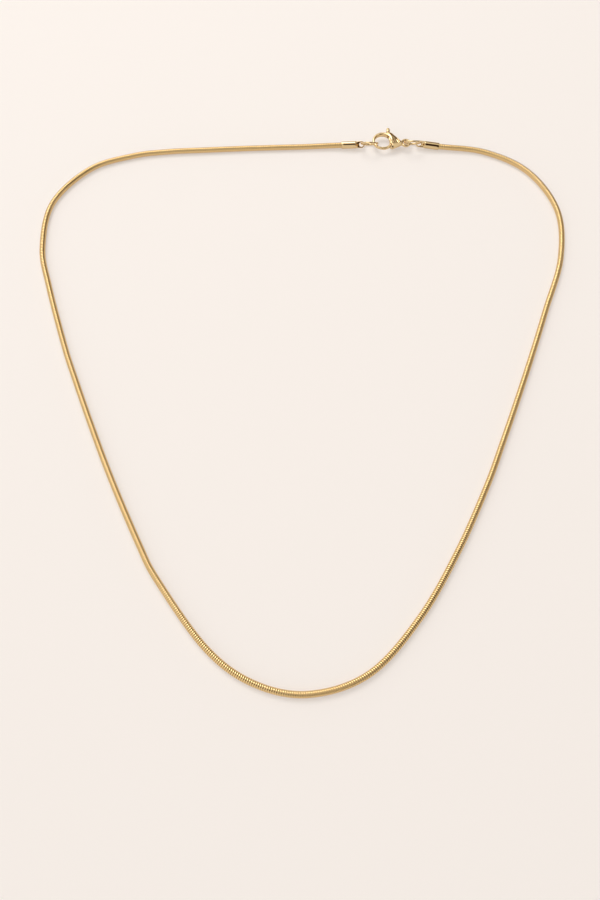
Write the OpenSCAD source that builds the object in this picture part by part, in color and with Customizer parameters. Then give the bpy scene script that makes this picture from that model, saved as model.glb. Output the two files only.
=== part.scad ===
/* [Chain] */
// Diameter of the round snake chain
chain_d = 1.5; // [1.4:0.05:1.52]

/* [End caps] */
// Outer diameter of the tube that grips a chain end
cap_d = 1.9; // [1.85:0.05:2.1]
// Bore of the tube
cap_bore_d = 1.6; // [1.58:0.01:1.65]
// Length of the tube
cap_len = 4.3; // [4:0.1:5.5]
// How far the chain goes into the tube
cap_seat = 3.2; // [2:0.1:3.6]
// Thickness of the flattened tab
tab_t = 0.42; // [0.35:0.01:0.5]
// Diameter of the hole in the tab
tab_hole_d = 1.2; // [1.15:0.05:1.25]

/* [Jump rings] */
// Diameter of the middle line of a ring's wire
ring_d = 4.4; // [4.35:0.05:4.45]
// Thickness of a ring's wire
ring_wire_d = 0.52; // [0.45:0.01:0.54]

/* [Clasp] */
// Radius of the middle line of the hook
hook_r = 2.5; // [2.4:0.05:2.6]
// Thickness of the clasp's body at the cheeks
body_t = 1.6; // [1.55:0.05:1.8]
// Thickness of the lever
lever_t = 0.84; // [0.7:0.02:0.84]
// Diameter of the rivet
rivet_d = 0.7; // [0.6:0.05:0.75]
// Outer diameter of the tail eye
eye_d = 2.8; // [2.7:0.05:2.9]
// Hole of the tail eye
eye_hole_d = 1.4; // [1.3:0.05:1.45]

/* [Hidden] */
$fn = 48;

// Colours
chain_gold = [0.80, 0.62, 0.30];
pale_gold = [0.90, 0.77, 0.50];

// Clearances
fit_gap = 0.05;
seam_gap = 0.06;
riveted_gap = 0.015;
rivet_gap = 0.03;
seat_gap = 0.03;

// Where the clasp and its findings lie: the neck loop is on the surface, the clasp rides on its rings
clasp_at = [22.25, 73.7, 1.56];
clasp_turn = -5;
left_mouth = [10.95, 72.9, 0.98];
left_turn = -1;
right_mouth = [37.5, 72.45, 0.98];
right_turn = 173;
cap_pitch = 3.5;
left_roll = 30;
right_roll = -20;
left_ring_at = [18.53, 72.49, 1.995];
left_ring_lean = 51.5;
right_ring_at = [30.27, 72.8, 2.055];
right_ring_lean = 54;

// The middle of the whole necklace in the coordinates above: every node is moved back by it
middle = [0.35, 1.96];

// The chain's route, seen from above, from the left cap round the front to the right cap
route = [[10.95, 72.9], [-1, 72.5], [-14.5, 72], [-26, 71.4], [-36, 70.8], [-46, 69.2],
         [-57, 64.5], [-65.6, 53], [-66.5, 38.5], [-63.4, 26.5], [-57.5, 9], [-54, 0],
         [-48, -14.5], [-42.5, -27], [-35.5, -41.5], [-31, -49.5], [-20, -64], [-10, -71.2],
         [1.5, -73.4], [14, -69.2], [25, -57.5], [34, -43], [41.5, -28], [46, -17.5],
         [51.1, -5], [56, 7.5], [60.5, 19.5], [66.1, 35], [67.2, 50.5], [61, 63.6],
         [50, 70.6], [37.5, 72.45]];
chain_sides = 8;
rings_per_leg = 2.5;

module placed() {
    translate([-middle[0], -middle[1], 0])
        children();
}

// A smooth curve through four neighbours: it runs from b to c as t goes from 0 to 1
function through(a, b, c, d, t) =
    0.5 * (2 * b + (c - a) * t + (2 * a - 5 * b + 4 * c - d) * t * t + (3 * b - a - 3 * c + d) * t * t * t);

// The lift of the chain's middle line above the surface: it rises to the caps' mouths in the end legs
function ease(t) = t * t * (3 - 2 * t);
function chain_z(leg, t, legs) =
    leg == 0 ? left_mouth[2] + (chain_d / 2 - left_mouth[2]) * ease(t)
    : leg == legs - 1 ? chain_d / 2 + (right_mouth[2] - chain_d / 2) * ease(t)
    : chain_d / 2;

// A point of the middle line, u in legs from the left mouth
function chain_point(u) =
    let (legs = len(route) - 1)
    let (leg = min(floor(u), legs - 1))
    let (t = u - leg)
    let (b = route[leg])
    let (c = route[leg + 1])
    let (a = leg == 0 ? 2 * b - c : route[leg - 1])
    let (d = leg == legs - 1 ? 2 * c - b : route[leg + 2])
    let (p = through(a, b, c, d, t))
    [p[0], p[1], chain_z(leg, t, legs)];

// The direction of a cap's axis, from its mouth to its tab
function cap_axis(turn) = [cos(turn) * cos(cap_pitch), sin(turn) * cos(cap_pitch), sin(cap_pitch)];

// The middle line with both seated ends, each of which follows its cap's axis
line_count = ceil((len(route) - 1) * rings_per_leg);
open_line = [for (i = [0:line_count]) chain_point(i * (len(route) - 1) / line_count)];
middle_line = concat([left_mouth + cap_seat * cap_axis(left_turn)], open_line,
                     [right_mouth + cap_seat * cap_axis(right_turn)]);

// One ring of the chain's eight-sided tube, with one side flat on the surface
function unit(v) = v / norm(v);
function tube_ring(i, r) =
    let (last = len(middle_line) - 1)
    let (along = unit(middle_line[min(i + 1, last)] - middle_line[max(i - 1, 0)]))
    let (side = unit(cross([0, 0, 1], along)))
    let (up = cross(along, side))
    [for (k = [0:chain_sides - 1])
        let (a = (k + 0.5) * 360 / chain_sides)
        middle_line[i] + r * cos(a) * side + r * sin(a) * up];

// The chain is slimmer inside the caps, where its corners would touch the bore
function tube_radius(i) =
    (i <= 1 || i >= len(middle_line) - 2) ? cap_bore_d / 2 - 2 * seat_gap : chain_d / 2 / cos(180 / chain_sides);

// Walls and ends of a closed tube of rings with n points each
function tube_walls(rings, n) =
    [for (i = [0:rings - 2]) for (k = [0:n - 1])
        let (m = (k + 1) % n)
        each [[i * n + k, (i + 1) * n + m, i * n + m], [i * n + k, (i + 1) * n + k, (i + 1) * n + m]]];
function tube_ends(rings, n) =
    let (z = (rings - 1) * n)
    [for (k = [1:n - 2]) each [[0, k, k + 1], [z, z + k + 1, z + k]]];

module tube(points, rings, n) {
    polyhedron(points, concat(tube_walls(rings, n), tube_ends(rings, n)), convexity = 8);
}

module snake_chain() {
    rings = len(middle_line);
    color(chain_gold)
        placed()
        tube([for (i = [0:rings - 1]) each tube_ring(i, tube_radius(i))], rings, chain_sides);
}

// An end cap along +X from its mouth: a blind tube, then a flat tab with a round end and a hole
rim = 0.12;
tab_root = 0.5;
tab_w = cap_d - 0.1;
hole_at = cap_len + 1.15;

module cap_tab() {
    translate([0, 0, -tab_t / 2]) {
        translate([hole_at, 0, 0])
            cylinder(d = tab_w, h = tab_t);
        translate([cap_len - tab_root, -tab_w / 2, 0])
            cube([hole_at - cap_len + tab_root, tab_w, tab_t]);
    }
}

module cap_tube() {
    rotate([0, 90, 0])
        rotate_extrude()
        polygon([[0, 0], [cap_d / 2 - rim, 0], [cap_d / 2, rim], [cap_d / 2, cap_len - 3 * rim],
                 [cap_d / 2 - 2 * rim, cap_len], [0, cap_len]]);
}

module end_cap(mouth, turn, roll) {
    color(pale_gold)
        placed()
        translate(mouth)
        rotate([0, 0, turn])
        rotate([roll, -cap_pitch, 0])
        difference() {
            union() {
                cap_tube();
                cap_tab();
            }
            translate([-fit_gap, 0, 0])
                rotate([0, 90, 0])
                cylinder(d = cap_bore_d, h = cap_seat + 3 * fit_gap);
            translate([hole_at, 0, -cap_d / 2])
                cylinder(d = tab_hole_d, h = cap_d);
        }
}

module end_cap_left() {
    end_cap(left_mouth, left_turn, left_roll);
}

module end_cap_right() {
    end_cap(right_mouth, right_turn, right_roll);
}

// A jump ring that leans towards the front, with X in its plane
module jump_ring(at, lean) {
    color(pale_gold)
        placed()
        translate(at)
        rotate([-lean, 0, 0])
        rotate_extrude()
        translate([ring_d / 2, 0])
        circle(d = ring_wire_d);
}

module jump_ring_left() {
    jump_ring(left_ring_at, left_ring_lean);
}

module jump_ring_right() {
    jump_ring(right_ring_at, right_ring_lean);
}

// The clasp's own frame: the hook's centre at the origin, the tail along +X, the thumb tab at +Y.
// The ring of the hook is a bar along a circle. It starts in the cheeks over the pivot and ends at the seam.
// Each table gives the bar's width in the clasp's plane, or its height, at an angle on that circle.
hook_root = -14;
hook_tip = 278;
hook_widths = [[hook_root, 1.25], [50, 1.0], [hook_tip, 0.54]];
hook_heights = [[hook_root, body_t], [50, 1.42], [hook_tip, 0.77]];
gate_tip = 240;
gate_root = 345;
gate_widths = [[gate_tip, 0.54], [gate_root, 0.8]];
gate_heights = [[gate_tip, 0.78], [gate_root, lever_t]];
seam_angle = 264;
seam_slant = 60;

// The drop runs from the ring to the tail. Its outline goes round the shoulder, the belly and the neck.
pivot = [2.45, -0.6];
cheek_r = 0.66;
cheek_end = -27;
shoulder = [1.7, 2.05];
shoulder_r = 1.3;
belly = [2.6, -1.4];
belly_r = 0.98;
neck = [5.0, -0.35];
neck_r = 0.55;
drop_t = body_t * 0.94;
neck_t = body_t * 0.72;
eye_at = 6.25;

// A groove in each face of the drop: the middles of its two round ends, and the web left under both
groove_ends = [[3.62, 0.75], [4.2, -0.3]];
groove_r = 0.26;
groove_web = 0.4;

// The lever's hub, arm and thumb pad, and the room that the slot leaves them
hub_r = 0.68;
hub_room = 0.08;
arm_foot = pivot + [-0.1, 0.3];
arm_foot_r = 0.45;
arm_head = [1.35, 3.4];
arm_head_r = 0.42;
pad_foot = [1.28, 3.6];
pad_foot_r = 0.5;
pad_head = [1.18, 4.1];
pad_head_r = 0.45;
pad_t = 1.3;
slot_t = lever_t + 2 * fit_gap;
slot_hub = hub_r + hub_room;
arm_room = [pivot + [-slot_hub, 0], [1.1, 2], [0.65, 4.5], [3.85, 4.2], pivot + [slot_hub, 0.2]];
gate_room_r = hook_r + gate_widths[1][1] / 2 + hub_room;
rivet_proud = 0.02;

sweep_sides = 16;
sweep_rings = 36;
dome_sides = 32;

// A rounded section at angle a of its own outline, w wide and h high
function oval(a, w, h) =
    let (c = cos(a))
    let (s = sin(a))
    [w / 2 * sign(c) * pow(abs(c), 0.8), h / 2 * sign(s) * pow(abs(s), 0.8)];
function bar_ring(a, size) =
    [for (k = [0:sweep_sides - 1])
        let (q = oval(k * 360 / sweep_sides, size[0], size[1]))
        [(hook_r + q[0]) * cos(a), (hook_r + q[0]) * sin(a), -q[1]]];

// A bar swept along the hook's circle between two angles, with its sizes from two tables
module bar(from, to, widths, heights) {
    points = [for (i = [0:sweep_rings])
        let (a = from + (to - from) * i / sweep_rings)
        each bar_ring(a, [lookup(a, widths), lookup(a, heights)])];
    tube(points, sweep_rings + 1, sweep_sides);
}

// The block on the gate's side of the slanted seam, moved away from it by gap
module gate_side(gap, reach) {
    rotate([0, 0, seam_angle])
        translate([hook_r, 0, 0])
        rotate([0, 0, seam_slant])
        translate([-reach, gap, -body_t])
        cube([2 * reach, reach + 1, 2 * body_t]);
}

// The part of a disc round the hook's centre that lies clockwise of the cheeks' end, where the gate closes
module gate_sector(r, h, from) {
    intersection() {
        translate([0, 0, -h / 2])
            cylinder(r = r, h = h);
        rotate([0, 0, from])
            translate([0, -2 * r, -h])
            cube([2 * r, 2 * r, 2 * h]);
    }
}

// A flat disc with a rounded rim, for the cheeks' end and the corners of the lever
module pebble(at, r, t) {
    e = min(t * 0.3, r / 2);
    translate([at[0], at[1], 0])
        rotate_extrude($fn = dome_sides) {
            translate([0, -t / 2])
                square([r - e, t]);
            translate([0, e - t / 2])
                square([r, t - 2 * e]);
            translate([r - e, t / 2 - e])
                circle(r = e);
            translate([r - e, e - t / 2])
                circle(r = e);
        }
}

// A ball flattened to the height t, for the corners of the drop
module dome(at, r, t) {
    translate([at[0], at[1], 0])
        scale([1, 1, t / 2 / r])
        sphere(r = r, $fn = dome_sides);
}

module clasp_place() {
    placed()
        translate(clasp_at)
        rotate([0, 0, clasp_turn])
        children();
}

module on_pivot(d) {
    translate([pivot[0], pivot[1], -body_t])
        cylinder(d = d, h = 2 * body_t);
}

// The drop stays outside the ring's middle line, and clear of the gate below the cheeks
module clasp_drop() {
    difference() {
        hull() {
            dome(shoulder, shoulder_r, drop_t);
            dome(belly, belly_r, drop_t);
            dome(neck, neck_r, neck_t);
        }
        translate([0, 0, -body_t])
            cylinder(r = hook_r, h = 2 * body_t);
        gate_sector(gate_room_r, 2 * body_t, cheek_end);
    }
}

// The hook ends where the seam cuts it, a little short of the gate's side
module clasp_hook() {
    seam_reach = 1;
    pebble(pivot, cheek_r, body_t);
    difference() {
        bar(hook_root, hook_tip, hook_widths, hook_heights);
        gate_side(-seam_gap / 2, seam_reach);
    }
}

module face_groove() {
    hull()
        for (end = groove_ends)
            translate([end[0], end[1], groove_web / 2])
                cylinder(r = groove_r, h = body_t, $fn = dome_sides);
}

module tail_eye() {
    translate([eye_at, 0, 0])
        rotate_extrude()
        translate([(eye_d + eye_hole_d) / 4, 0])
        circle(d = (eye_d - eye_hole_d) / 2);
}

module clasp_slot() {
    translate([0, 0, -slot_t / 2])
        linear_extrude(slot_t)
        union() {
            translate(pivot)
                circle(r = slot_hub);
            polygon(arm_room);
        }
    gate_sector(gate_room_r, slot_t, 0);
}

module clasp_body() {
    color(pale_gold)
        clasp_place()
        difference() {
            union() {
                clasp_drop();
                clasp_hook();
                tail_eye();
            }
            clasp_slot();
            face_groove();
            mirror([0, 0, 1])
                face_groove();
            on_pivot(rivet_d + 2 * riveted_gap);
        }
}

// The gate's tip passes over the hook's tip on the slanted seam
module lever_gate() {
    gate_reach = 6;
    intersection() {
        bar(gate_tip, gate_root, gate_widths, gate_heights);
        gate_side(seam_gap / 2, gate_reach);
    }
}

module clasp_lever() {
    color(pale_gold)
        clasp_place()
        difference() {
            union() {
                translate([pivot[0], pivot[1], -lever_t / 2])
                    cylinder(r = hub_r, h = lever_t);
                lever_gate();
                hull() {
                    pebble(arm_foot, arm_foot_r, lever_t);
                    pebble(arm_head, arm_head_r, lever_t);
                }
                hull() {
                    pebble(pad_foot, pad_foot_r, pad_t);
                    pebble(pad_head, pad_head_r, pad_t);
                }
            }
            on_pivot(rivet_d + 2 * rivet_gap);
        }
}

module clasp_rivet() {
    color(pale_gold)
        clasp_place()
        translate([pivot[0], pivot[1], -body_t / 2 - rivet_proud])
        cylinder(d = rivet_d, h = body_t + 2 * rivet_proud);
}

snake_chain();
end_cap_left();
end_cap_right();
jump_ring_left();
jump_ring_right();
clasp_body();
clasp_lever();
clasp_rivet();
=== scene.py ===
# %% [markdown]
# # A snake chain necklace with a lobster clasp
#
# The necklace is a round snake chain, about one and a half millimetres thick, closed at the back of the neck by a
# small lobster clasp. The packed model gives us every part as a plain solid in its right place. In this lesson we
# give each part the surface that the goldsmith gives it: ribs on the chain, soft cast edges on the clasp, rolled
# lips on the end caps, and two gold finishes.

import bmesh
import bpy
import numpy as np
from mathutils import Matrix, Vector


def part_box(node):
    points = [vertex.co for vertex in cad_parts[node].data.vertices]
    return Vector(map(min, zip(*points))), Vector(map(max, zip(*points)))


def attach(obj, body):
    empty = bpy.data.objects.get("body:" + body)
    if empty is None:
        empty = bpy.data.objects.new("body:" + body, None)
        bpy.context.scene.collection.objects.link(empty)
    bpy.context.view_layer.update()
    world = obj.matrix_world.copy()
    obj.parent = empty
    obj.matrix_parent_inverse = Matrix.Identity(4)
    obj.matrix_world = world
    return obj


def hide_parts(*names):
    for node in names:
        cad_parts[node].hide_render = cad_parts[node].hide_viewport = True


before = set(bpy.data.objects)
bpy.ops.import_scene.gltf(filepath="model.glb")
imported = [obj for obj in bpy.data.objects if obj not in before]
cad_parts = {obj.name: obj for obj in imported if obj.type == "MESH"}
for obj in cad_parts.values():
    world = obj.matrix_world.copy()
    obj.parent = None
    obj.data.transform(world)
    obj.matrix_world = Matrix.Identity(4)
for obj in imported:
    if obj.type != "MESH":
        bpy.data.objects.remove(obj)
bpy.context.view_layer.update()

# The necklace's lengths below are in millimetres, and times MM they are in Blender's metres. The floor and the light
# are in metres at once.
MM = 0.001
print("nodes:", ", ".join(sorted(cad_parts)))

# %% [markdown]
# ## The camera
#
# The photograph looks down at the loop from its front, about 65 degrees above the table, from some 20 centimetres
# away. A camera needs a place and a direction. It could be turned by hand until the picture fits, but working it out
# from an aim point, a height angle and a distance keeps all three easy to change one at a time.

# %% Camera
aim = np.array([-0.73, -20.54, 0.0]) * MM
height_angle = np.radians(65.0)
distance = 198.3 * MM
focal_length, sensor_width = 34.54, 36.0
back = np.array([0.0, -np.cos(height_angle), np.sin(height_angle)])
camera = bpy.data.objects.new("camera", bpy.data.cameras.new("camera"))
bpy.context.scene.collection.objects.link(camera)
camera.data.lens = focal_length
camera.data.sensor_width = sensor_width
camera.data.clip_start = 0.01
camera.data.clip_end = 10.0
camera.location = Vector(aim + distance * back)
camera.rotation_mode = "QUATERNION"
camera.rotation_quaternion = Vector(-back).to_track_quat("-Z", "Y")
bpy.context.scene.camera = camera
print("camera at", [round(x, 3) for x in camera.location])

# %% [markdown]
# ## From a grid of points to a mesh
#
# Every piece below is a surface that we can walk over with two numbers: one that goes along it and one that goes
# round it. numpy works out all the points at once, as an array of rows. What is left is to join neighbouring rows
# with four-sided faces. The faces only depend on how many rows and columns there are, so one helper serves all.

# %% Grid to mesh
def round_angles(sides):
    """Angle k is k full turns divided by the number of sides."""
    return np.arange(sides) * 2 * np.pi / sides


def grid_mesh(name, points, ends="closed", **values):
    """A mesh from points[row, column, xyz]. Row i, column k joins row i+1, column k+1, and the last column joins
    the first. The ends are closed by one face each, or joined to each other if ends is "ring"."""
    rows, columns = points.shape[:2]
    i, k = np.meshgrid(np.arange(rows if ends == "ring" else rows - 1), np.arange(columns), indexing="ij")
    j, m = (i + 1) % rows, (k + 1) % columns
    quads = np.stack([i * columns + k, i * columns + m, j * columns + m, j * columns + k], -1).reshape(-1, 4)
    faces = quads.tolist()
    if ends == "closed":
        faces.append(list(range(columns))[::-1])
        faces.append([(rows - 1) * columns + c for c in range(columns)])
    mesh = bpy.data.meshes.new(name)
    mesh.from_pydata(points.reshape(-1, 3), [], faces)
    for value_name, value in values.items():
        attribute = mesh.attributes.new(value_name, "FLOAT", "POINT")
        attribute.data.foreach_set("value", np.broadcast_to(value, (rows, columns)).astype(np.float32).ravel())
    mesh.shade_smooth()
    mesh.validate()
    piece = bpy.data.objects.new(name, mesh)
    bpy.context.scene.collection.objects.link(piece)
    print(f"{name}: {rows} rows of {columns} points, {len(mesh.polygons)} faces")
    return piece


print("a square has its corners at", np.degrees(round_angles(4)), "degrees")

# %% [markdown]
# ## Shader maths as plain sums
#
# A finish is a small calculation: so much of this colour where the rib is high, so much gloss where the noise is
# low. In the shader editor each step is a Math node with two wires. Here a wire is a Python value with operators, so
# that `0.4 - 0.2 * rib` adds its own nodes, and one method makes every other kind of node.

# %% Wires
class Wire:
    """One output in a material's node tree."""

    def __init__(self, tree, socket=None):
        self.tree, self.socket = tree, socket

    def make(self, kind, settings=None, inputs=None, output=0):
        """Adds a node: its settings first, then a value or a wire for each input named or numbered."""
        node = self.tree.nodes.new(kind)
        for key, value in (settings or {}).items():
            setattr(node, key, value)
        for key, value in (inputs or {}).items():
            if isinstance(value, Wire):
                self.tree.links.new(value.socket, node.inputs[key])
            else:
                node.inputs[key].default_value = value
        return Wire(self.tree, node.outputs[output])

    def sum_of(self, operation, a, b):
        return self.make("ShaderNodeMath", {"operation": operation}, {0: a, 1: b})

    def __add__(self, other):
        return self.sum_of("ADD", self, other)

    __radd__ = __add__

    def __mul__(self, other):
        return self.sum_of("MULTIPLY", self, other)

    __rmul__ = __mul__

    def __sub__(self, other):
        return self.sum_of("SUBTRACT", self, other)

    def __rsub__(self, other):
        return self.sum_of("SUBTRACT", other, self)

    def mix(self, low, high):
        """The colour low where this wire is 0 and high where it is 1."""
        return self.make("ShaderNodeMix", {"data_type": "RGBA"}, {0: self, 6: low, 7: high}, output=2)


print("a wire's methods:", *(name for name in vars(Wire) if not name.startswith("_")))


# %% Materials
def new_material(name):
    """An empty node material and a first wire in it."""
    material = bpy.data.materials.new(name)
    material.use_nodes = True
    material.node_tree.nodes.clear()
    return material, Wire(material.node_tree)


def finish(start, **inputs):
    """Ends a material in one shader, whose inputs are given by name with _ for a space."""
    named = {key.replace("_", " "): value for key, value in inputs.items()}
    shader = start.make("ShaderNodeBsdfPrincipled", {}, named)
    output = start.tree.nodes.new("ShaderNodeOutputMaterial")
    start.tree.links.new(shader.socket, output.inputs["Surface"])
    print(f"a finish of {len(start.tree.nodes)} nodes with {', '.join(named)}")


# %% [markdown]
# ## The chain's gold
#
# Yellow gold plate over brass. The crests of the ribs are rubbed to a high gloss by skin and cloth, while the grooves
# between them keep less gloss, because the polishing wheel can't reach them. The grooves are also painted a darker,
# redder colour: painted shade for the light that is caught in them.
# The mesh carries a value named rib, 0 in a groove and 1 on a crest, so colour and gloss can follow the shape.

# %% Chain gold
def chain_gold():
    """Colour and gloss go from the groove's to the crest's as rib goes from 0 to 1. A fine grain dulls the gloss."""
    # groove is painted shade: the darker, redder colour of the grooves stands for light caught between the ribs.
    groove = (0.23, 0.115, 0.028, 1.0)
    crest_deep, crest_pale = (0.90, 0.645, 0.295, 1.0), (0.98, 0.725, 0.375, 1.0)
    dull, polish, haze = 0.34, 0.18, 0.08
    material, start = new_material("chain_gold")
    rib = start.make("ShaderNodeAttribute", {"attribute_name": "rib"}, output="Fac")
    place = start.make("ShaderNodeTexCoord", output="Object")
    patches = start.make("ShaderNodeTexNoise", {}, {"Vector": place, "Scale": 90.0, "Detail": 2.0})
    grain = start.make("ShaderNodeTexNoise", {}, {"Vector": place, "Scale": 5200.0, "Detail": 2.0})
    # Painted shade: the colour darkens and reddens towards the grooves, where rib is low.
    colour = rib.mix(groove, patches.mix(crest_deep, crest_pale))
    rough = dull - polish * rib + haze * grain
    bump = start.make("ShaderNodeBump", {}, {"Strength": 0.12, "Distance": 0.02 * MM, "Height": grain})
    finish(start, Base_Color=colour, Metallic=1.0, Roughness=rough, Normal=bump)
    return material


chain_finish = chain_gold()
print("made", chain_finish.name)

# %% [markdown]
# ## The findings' gold
#
# Clasp, rings and caps are tumbled and then plated in a paler gold. They are mirror bright, but not perfect: handling
# leaves soft smudges and the tumbling leaves hairlines. Both are kept very weak, for a polished surface that
# shows them plainly would look like plastic.

# %% Findings gold
def findings_gold():
    """Colour and gloss vary with a soft smudge, and hairlines nine times as long as they are wide tilt the light."""
    bare, hazed = (0.67, 0.49, 0.25, 1.0), (0.81, 0.62, 0.36, 1.0)
    material, start = new_material("findings_gold")
    place = start.make("ShaderNodeTexCoord", output="Object")
    smudge = start.make("ShaderNodeTexNoise", {}, {"Vector": place, "Scale": 420.0, "Detail": 3.0})
    stretched = start.make("ShaderNodeMapping", {}, {"Vector": place, "Scale": (1.0, 9.0, 9.0)})
    hairline = start.make("ShaderNodeTexNoise", {}, {"Vector": stretched, "Scale": 900.0, "Detail": 2.0})
    colour = smudge.mix(bare, hazed)
    bump = start.make("ShaderNodeBump", {}, {"Strength": 0.06, "Distance": 0.02 * MM, "Height": hairline})
    finish(start, Base_Color=colour, Metallic=1.0, Roughness=0.04 + 0.08 * smudge, Normal=bump)
    return material


findings_finish = findings_gold()
print("made", findings_finish.name)

# %% [markdown]
# ## The line that the chain follows
#
# The chain lies where the solid chain lies, so the route's points are the same as the model's: 32 points from the
# left cap round the front to the right cap. A curve through four neighbouring points at a time joins them smoothly.
# At both ends the chain rises a little and runs straight into its cap.

# %% Route
route = np.array([
    [10.95, 72.9], [-1, 72.5], [-14.5, 72], [-26, 71.4], [-36, 70.8], [-46, 69.2], [-57, 64.5], [-65.6, 53],
    [-66.5, 38.5], [-63.4, 26.5], [-57.5, 9], [-54, 0], [-48, -14.5], [-42.5, -27], [-35.5, -41.5], [-31, -49.5],
    [-20, -64], [-10, -71.2], [1.5, -73.4], [14, -69.2], [25, -57.5], [34, -43], [41.5, -28], [46, -17.5],
    [51.1, -5], [56, 7.5], [60.5, 19.5], [66.1, 35], [67.2, 50.5], [61, 63.6], [50, 70.6], [37.5, 72.45]])
middle = np.array([0.35, 1.96])
chain_r = 0.75
cap_pitch = np.radians(3.5)
caps = {"left": dict(mouth=np.array([10.95, 72.9, 0.98]), turn=np.radians(-1.0), roll=np.radians(30.0)),
        "right": dict(mouth=np.array([37.5, 72.45, 0.98]), turn=np.radians(173.0), roll=np.radians(-20.0))}
for cap in caps.values():
    cap["mouth"] = cap["mouth"] - [*middle, 0.0]
    cap["axis"] = np.array([np.cos(cap["turn"]) * np.cos(cap_pitch), np.sin(cap["turn"]) * np.cos(cap_pitch),
                            np.sin(cap_pitch)])
print(len(route), "points, cap mouths in mm at", *(cap["mouth"].round(2) for cap in caps.values()))


# %% Smooth line
def smooth_route(points, steps):
    """Points on a smooth curve through all the given ones. Between b and c, with neighbours a and d, it is half of
    2b + (c - a) t + (2a - 5b + 4c - d) t^2 + (3b - a - 3c + d) t^3, with t from 0 to 1."""
    padded = np.vstack([2 * points[0] - points[1], points, 2 * points[-1] - points[-2]])
    a, b, c, d = (padded[k:len(padded) - 3 + k, None] for k in range(4))
    t = (np.arange(steps) / steps)[None, :, None]
    curve = 0.5 * (2 * b + (c - a) * t + (2 * a - 5 * b + 4 * c - d) * t**2 + (3 * b - a - 3 * c + d) * t**3)
    return np.vstack([curve.reshape(-1, 2), points[-1]])


def ease(t):
    """From 0 to 1 with a soft start and end: 3 t^2 - 2 t^3."""
    return t * t * (3 - 2 * t)


steps_per_leg = 120
seat_deep, seat_shallow, seat_points = 3.1, 0.02, 40
plan = smooth_route(route - middle, steps_per_leg)
lift = np.full(len(plan), chain_r)
leg = np.arange(steps_per_leg + 1) / steps_per_leg
rise = caps["left"]["mouth"][2] - chain_r
lift[:steps_per_leg + 1] += rise * (1 - ease(leg))
lift[-steps_per_leg - 1:] += rise * ease(leg)
seat = np.linspace(seat_deep, seat_shallow, seat_points)[:, None]
line = np.vstack([caps["left"]["mouth"] + seat * caps["left"]["axis"], np.column_stack([plan, lift]),
                  caps["right"]["mouth"] + seat[::-1] * caps["right"]["axis"]])
travel = np.concatenate([[0], np.cumsum(np.linalg.norm(np.diff(line, axis=0), axis=1))])
print(f"chain line: {travel[-1]:.1f} mm in {len(line)} points")

# %% [markdown]
# ## The snake chain
#
# A round snake chain is a stack of small bent plates, pressed so closely that they read as a ribbed tube. Each
# plate's edge waves up and down four times on its way round, and hooks into the next. It could be built link by link,
# but there are nearly nine hundred, and all that shows is the ribbed surface. So we carry one circle along the
# line: within each rib the radius rises from a groove to a crest and falls again, and the circle's points are
# pushed forwards and back along the line in the plate's wave. Four rows a rib are enough for a rounded crest.

# %% Chain surface
def along(s):
    """The line's point and its side and up vectors at the distances s, each read off between the nearest points."""
    point = np.stack([np.interp(s, travel, line[:, k]) for k in range(3)], -1)
    slope = np.gradient(line, travel, axis=0)
    forward = np.stack([np.interp(s, travel, slope[:, k]) for k in range(3)], -1)
    forward /= np.linalg.norm(forward, axis=-1, keepdims=True)
    side = np.cross([0.0, 0.0, 1.0], forward)
    side /= np.linalg.norm(side, axis=-1, keepdims=True)
    return point, side, np.cross(forward, side)


def snake_chain():
    """Row i of rib n stands at s = (n + phase i) pitch, and its radius is chain_r less groove times (1 - height i).
    A point at angle a round the row is moved along the line by wave times cos(4 a)."""
    pitch, groove, wave, sides, bare_end = 0.48, 0.10, 0.075, 24, 0.3
    phase = np.array([0.0, 0.17, 0.5, 0.83])
    height = np.array([0.0, 0.72, 1.0, 0.72])
    ribs = int((travel[-1] - 2 * bare_end) / pitch)
    s = bare_end + pitch * (np.arange(ribs)[:, None] + phase).ravel()
    high = np.tile(height, ribs)
    angle = round_angles(sides)
    point, side, up = along(s[:, None] + wave * np.cos(4 * angle))
    radius = (chain_r - groove * (1 - high))[:, None, None]
    points = point + radius * (np.cos(angle)[None, :, None] * side + np.sin(angle)[None, :, None] * up)
    print(f"{ribs} ribs of {pitch} mm")
    return grid_mesh("snake_chain_ribbed", points * MM, rib=high[:, None])


chain = snake_chain()
chain.data.materials.append(chain_finish)
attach(chain, "necklace")
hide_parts("snake_chain")

# %% [markdown]
# ## The end caps
#
# Each end of the chain is glued or crimped into a short tube. The tube's far end is squeezed flat in a press and
# pierced, which gives the tab that the jump ring goes through. The tube is one long grid: it starts deep in
# the bore, comes out over a rounded lip, runs along the outside and is squeezed from a circle to a flat oval.
# The tab is a second grid, a small rounded section carried once round the hole.

# %% Cap sizes
cap_r, cap_bore_r, cap_len, tab_t = 0.95, 0.8, 4.3, 0.42
hole_beyond_tube, hole_r, tab_narrower = 1.15, 0.6, 0.05
hole_at = cap_len + hole_beyond_tube
tab_r = cap_r - tab_narrower


def place_cap(points, cap):
    """Turns points from the cap's own frame, with +X from its mouth to its tab, into the model's frame."""
    turned = (Matrix.Rotation(cap["turn"], 3, "Z") @ Matrix.Rotation(-cap_pitch, 3, "Y")
              @ Matrix.Rotation(cap["roll"], 3, "X"))
    return points @ np.array(turned).T + cap["mouth"]


print(f"cap: {2 * cap_r} mm across, {cap_len} mm long, and its hole is {2 * hole_r} mm")


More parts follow.
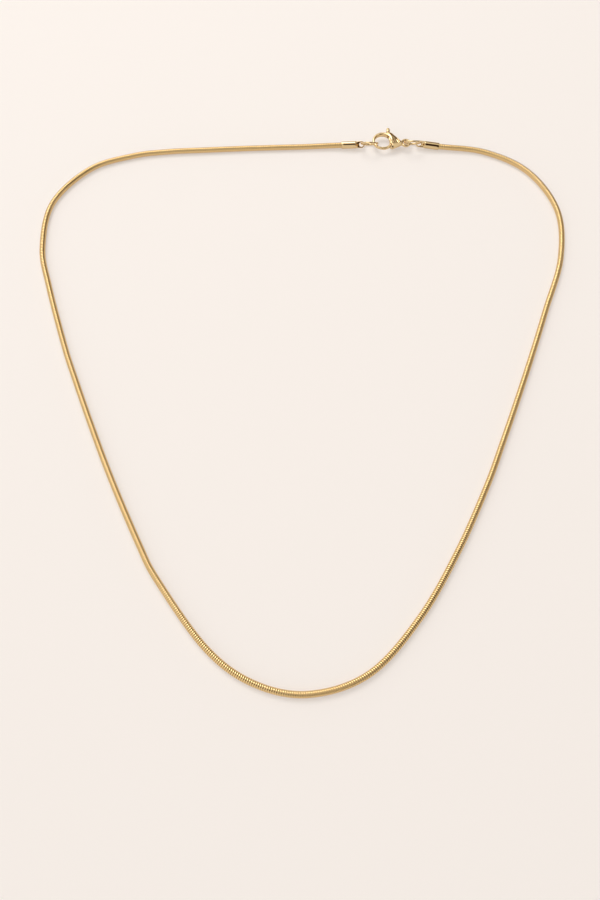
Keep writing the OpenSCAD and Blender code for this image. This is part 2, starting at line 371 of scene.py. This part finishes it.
# %% Cap tube
def cap_tube(side, cap):
    """Row i is an ellipse at x, with half width w and half height h: the bore is round, the lip is a half circle
    between bore and wall, and over the last squeezed stretch the height eases down to the tab's half thickness."""
    sides, lip_rows, wall_rows, squeezed_rows = 40, 9, 6, 14
    bore_floor, bore_middle, wall_start = 3.3, 1.5, 0.6
    round_end, flat_end, margin = cap_len - 0.5, cap_len + 0.35, 0.1
    pinhole_r, tuck, last_w, last_h = 0.02, 0.02, 0.4, 0.1
    lip = np.linspace(0, np.pi, lip_rows)
    lip_r = (cap_r - cap_bore_r) / 2
    x = np.concatenate([[bore_floor, bore_floor, bore_middle], lip_r - lip_r * np.sin(lip),
                        np.linspace(wall_start, round_end - margin, wall_rows),
                        np.linspace(round_end, flat_end, squeezed_rows), [flat_end + tuck]])
    w = np.concatenate([[pinhole_r, cap_bore_r, cap_bore_r], cap_bore_r + lip_r - lip_r * np.cos(lip),
                        np.full(wall_rows, cap_r), np.linspace(cap_r, tab_r - 2 * tuck, squeezed_rows), [last_w]])
    squeeze = ease(np.clip((x - round_end) / (flat_end - round_end - margin), 0, 1))
    h = w + (tab_t / 2 - tuck - w) * squeeze * (x >= round_end)
    h[-1] = last_h
    angle = round_angles(sides)
    points = np.stack([np.broadcast_to(x[:, None], (len(x), sides)), w[:, None] * np.cos(angle),
                       h[:, None] * np.sin(angle)], -1)
    return grid_mesh(f"end_cap_{side}_tube", place_cap(points, cap) * MM)


# %% Cap tab
def cap_tab(side, cap):
    """A flat ring round the hole. At angle a its outside is the nearer of the round end and the strip's two straight
    edges, and a rounded section is carried round from the hole's edge to that outside."""
    sides, section_sides, overlap, boxiness, least = 72, 20, 0.2, 0.5, 1e-9
    a = round_angles(sides)
    reach_side = tab_r / np.maximum(np.abs(np.sin(a)), least)
    reach_back = (hole_at - (cap_len - overlap)) / np.maximum(-np.cos(a), least)
    outside = np.where(np.cos(a) >= 0, tab_r, np.minimum(reach_side, reach_back))
    q = round_angles(section_sides)
    flat = np.sign(np.cos(q)) * np.abs(np.cos(q)) ** boxiness
    tall = np.sign(np.sin(q)) * np.abs(np.sin(q)) ** boxiness
    centre, half = (outside + hole_r) / 2, (outside - hole_r) / 2
    reach = centre[:, None] + half[:, None] * flat
    points = np.stack([hole_at + reach * np.cos(a)[:, None], reach * np.sin(a)[:, None],
                       np.broadcast_to(tab_t / 2 * tall, reach.shape)], -1)
    return grid_mesh(f"end_cap_{side}_tab", place_cap(points, cap) * MM, ends="ring")


# %% End caps
for side, cap in caps.items():
    tube, tab = cap_tube(side, cap), cap_tab(side, cap)
    for piece in (tube, tab):
        piece.data.materials.append(findings_finish)
        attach(piece, "necklace")
    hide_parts(f"end_cap_{side}")

# %% [markdown]
# ## The jump rings
#
# A jump ring is a turn of round wire, cut from a coil and bent shut, so a hairline shows where its ends meet. A torus
# gives the wire, and a narrow dip in its thickness gives the hairline. The rows crowd together near the cut, because
# the dip is much narrower than the rows' usual distance. Each ring leans between its tab and the clasp, and the
# model says by how much.

# %% Jump rings
def jump_ring(side, at, lean, cut):
    """At angle a round the ring the wire's radius is wire_r less dip times exp(-(away / dip_width)^2), where away is
    the distance from the cut along the ring. At the cut the rows stand crowding times their even distance apart."""
    rows, columns = 144, 20
    ring_r, wire_r, dip, dip_width, crowding = 2.2, 0.26, 0.07, 0.035, 0.35
    even = np.linspace(-np.pi, np.pi, rows, endpoint=False)
    a = np.radians(cut) + even * (crowding + (1 - crowding) * np.abs(even / np.pi))
    away = np.abs(np.angle(np.exp(1j * (a - np.radians(cut))))) * ring_r
    thin = wire_r - dip * np.exp(-(away / dip_width) ** 2)
    q = round_angles(columns)
    reach = ring_r + thin[:, None] * np.cos(q)
    points = np.stack([reach * np.cos(a)[:, None], reach * np.sin(a)[:, None], thin[:, None] * np.sin(q)], -1)
    turned = np.array(Matrix.Rotation(-np.radians(lean), 3, "X"))
    points = points @ turned.T + (np.array(at) - [*middle, 0.0])
    piece = grid_mesh(f"jump_ring_{side}_wire", points * MM, ends="ring")
    piece.data.materials.append(findings_finish)
    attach(piece, "necklace")
    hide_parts(f"jump_ring_{side}")


jump_ring("left", at=[18.53, 72.49, 1.995], lean=51.5, cut=70)
jump_ring("right", at=[30.27, 72.8, 2.055], lean=54, cut=110)

# %% [markdown]
# ## The lobster clasp
#
# Body and lever are cast, so every edge is soft where the wax was rounded and the tumbler wore it. The packed solids
# have the right forms with sharp edges. Rather than draw the forms again, we take a copy of each solid, merge its
# loose triangles, cover it with a fine even net of small squares, and let that net relax a little. Edges
# round off by themselves and the flat cheeks stay flat. The copy is made a thousand times larger for this and scaled
# back afterwards, because Blender won't take squares smaller than a tenth of a millimetre.

# %% Cast pieces
def cast_piece(node, name, square, relax):
    """A copy of a solid, merged, netted with squares of that size in millimetres and relaxed that many times."""
    merge_distance, relax_step = 0.0005, 0.5
    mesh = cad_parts[node].data.copy()
    form = bmesh.new()
    form.from_mesh(mesh)
    bmesh.ops.scale(form, vec=(1 / MM,) * 3, verts=form.verts)
    bmesh.ops.remove_doubles(form, verts=form.verts, dist=merge_distance)
    form.to_mesh(mesh)
    form.free()
    rough = bpy.data.objects.new(name + "_rough", mesh)
    bpy.context.scene.collection.objects.link(rough)
    net = rough.modifiers.new("net", "REMESH")
    net.mode, net.voxel_size, net.adaptivity = "VOXEL", square, 0.0
    soften = rough.modifiers.new("soften", "SMOOTH")
    soften.factor, soften.iterations = relax_step, relax
    bpy.context.view_layer.update()
    done = bpy.data.meshes.new_from_object(rough.evaluated_get(bpy.context.evaluated_depsgraph_get()))
    done.name = name
    done.transform(Matrix.Scale(MM, 4))
    bpy.data.objects.remove(rough)
    done.materials.clear()
    done.shade_smooth()
    piece = bpy.data.objects.new(name, done)
    bpy.context.scene.collection.objects.link(piece)
    piece.data.materials.append(findings_finish)
    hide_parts(node)
    print(f"{name}: {len(done.polygons)} squares")
    return piece


claw = cast_piece("clasp_body", "clasp_claw", square=0.055, relax=18)
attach(claw, "necklace")
trigger = cast_piece("clasp_lever", "clasp_trigger", square=0.045, relax=6)
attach(trigger, "clasp_lever")

# %% [markdown]
# ## The rivet
#
# The lever turns on a short pin. After it is pushed through, both ends are struck, which leaves two low domes. A
# profile turned round the pin's axis gives it: up the side, then over the dome to the middle.

# %% Rivet
def rivet():
    """Row i is a circle of radius rr at height zz: a wall of constant radius r between two domes that are quarter
    ellipses, r wide and dome high. The last circle is a small dot, which one face closes."""
    sides, dome_rows, dome, dot, wall_inset = 32, 9, 0.03, 0.03, 0.1
    low, high = (np.array(corner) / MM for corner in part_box("clasp_rivet"))
    centre, half, r = (low + high) / 2, (high[2] - low[2]) / 2, (high[0] - low[0]) / 2
    t = np.linspace(0, np.pi / 2, dome_rows)
    top_r, top_z = r * (dot + (1 - dot) * np.cos(t)), half - dome + dome * np.sin(t)
    rr = np.concatenate([top_r[::-1], [r, r], top_r])
    zz = np.concatenate([-top_z[::-1], [-half + wall_inset, half - wall_inset], top_z])
    angle = round_angles(sides)
    points = np.stack([rr[:, None] * np.cos(angle), rr[:, None] * np.sin(angle),
                       np.broadcast_to(zz[:, None], (len(zz), sides))], -1) + centre
    piece = grid_mesh("clasp_rivet_pin", points * MM)
    piece.data.materials.append(findings_finish)
    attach(piece, "necklace")
    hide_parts("clasp_rivet")


rivet()

# %% [markdown]
# ## The floor
#
# A plain pale floor stands in for the table. It glows softly, as a bright cloth does that is lit from all round, so
# that the shade beside the chain stays weak, and its gentle grey keeps the picture from burning out.

# %% Floor
def floor():
    """One square, 6 m wide, so that its far edge looks like a horizon."""
    half_side = 3.0
    pale_grey, glow = (0.60, 0.56, 0.53, 1.0), (0.97, 0.93, 0.90, 1.0)
    material, start = new_material("pale_floor")
    finish(start, Base_Color=pale_grey, Roughness=0.7, Emission_Color=glow, Emission_Strength=0.395)
    mesh = bpy.data.meshes.new("floor")
    corners = [(-half_side, -half_side, 0), (half_side, -half_side, 0), (half_side, half_side, 0),
               (-half_side, half_side, 0)]
    mesh.from_pydata(corners, [], [(0, 1, 2, 3)])
    mesh.materials.append(material)
    plane = bpy.data.objects.new("floor", mesh)
    bpy.context.scene.collection.objects.link(plane)


floor()

# %% [markdown]
# ## The window
#
# One large soft light stands behind the necklace on the left, like a window. It draws the long highlight on the
# chain and a soft shadow on its near side. A lamp has to face what it lights, so its turn is worked out from its
# place.

# %% Window
def panel(name, place, width, height, power, colour):
    """A soft light at place, facing the necklace."""
    light = bpy.data.lights.new(name, "AREA")
    light.shape, light.size, light.size_y = "RECTANGLE", width, height
    light.energy, light.color = power, colour
    lamp = bpy.data.objects.new(name, light)
    bpy.context.scene.collection.objects.link(lamp)
    lamp.location = place
    lamp.rotation_mode = "QUATERNION"
    lamp.rotation_quaternion = (-Vector(place)).to_track_quat("-Z", "Y")


panel("window", place=(-0.26, 0.58, 0.80), width=0.66, height=0.44, power=3.4, colour=(1.0, 0.98, 0.95))

# %% [markdown]
# ## The room
#
# Polished gold is only as good as what it mirrors. A room that is bright all round makes it look like cream, and a
# dark one makes it look like bronze. This room is bright, with a brown side at the back right, a darker core at the
# right, and a dark patch in front, where the camera stands. Near the horizon it is pale, so that a low view has a
# light background. Each patch is an oval of directions with a soft edge.

# %% Patch of the room
def patch(towards, centre, wide, high):
    """How far a direction lies in an oval patch of the room: 1 in it and 0 outside. With u and v the sideways and
    upward parts of the direction, the patch ends where (u / wide)^2 + (v / high)^2 is about 1."""
    edge_out, edge_in = 1.3, 0.7
    centre = np.array(centre) / np.linalg.norm(centre)
    sideways = np.cross([0.0, 0.0, 1.0], centre)
    sideways /= np.linalg.norm(sideways)

    def part(axis):
        return towards.make("ShaderNodeVectorMath", {"operation": "DOT_PRODUCT"},
                            {0: towards, 1: tuple(float(x) for x in axis)}, output="Value")

    u, v = part(sideways) * (1 / wide), part(np.cross(centre, sideways)) * (1 / high)
    inside = towards.make("ShaderNodeMapRange", {"interpolation_type": "SMOOTHSTEP"},
                          {"Value": u * u + v * v, "From Min": edge_out, "From Max": edge_in})
    in_front = towards.make("ShaderNodeMapRange", {}, {"Value": part(centre), "From Min": 0.0, "From Max": 0.1})
    return inside * in_front


# %% Room
def room():
    """The colour of each direction: white, with each patch laid over what came before, and then a pale band over all
    of it, full up to one height of the direction and fading out to the next."""
    white, pale = (1.0, 0.965, 0.92, 1.0), (0.82, 0.78, 0.74, 1.0)
    brown, dark = (0.14, 0.085, 0.038, 1.0), (0.04, 0.013, 0.001, 1.0)
    band_full, band_end, brightness = 0.17, 0.29, 0.94
    world = bpy.data.worlds.new("room")
    world.use_nodes = True
    background = world.node_tree.nodes["Background"]
    towards = Wire(world.node_tree).make("ShaderNodeTexCoord", output="Generated")
    height = towards.make("ShaderNodeSeparateXYZ", {}, {"Vector": towards}, output="Z")
    colour = patch(towards, (0.78, 0.55, 0.38), wide=0.76, high=0.52).mix(white, brown)
    colour = patch(towards, (0.90, 0.28, 0.40), wide=0.36, high=0.42).mix(colour, dark)
    colour = patch(towards, (0.28, -0.66, 0.68), wide=0.345, high=0.74).mix(colour, dark)
    horizon = towards.make("ShaderNodeMapRange", {"interpolation_type": "SMOOTHSTEP"},
                           {"Value": height, "From Min": band_end, "From Max": band_full})
    colour = horizon.mix(colour, pale)
    world.node_tree.links.new(colour.socket, background.inputs["Color"])
    background.inputs["Strength"].default_value = brightness
    bpy.context.scene.world = world
    print("room:", len(world.node_tree.nodes), "nodes")


room()
bpy.context.scene.view_settings.view_transform = "Standard"

# %% [markdown]
# ## Sizes
#
# The dressed necklace has to fill the same box as the solids.
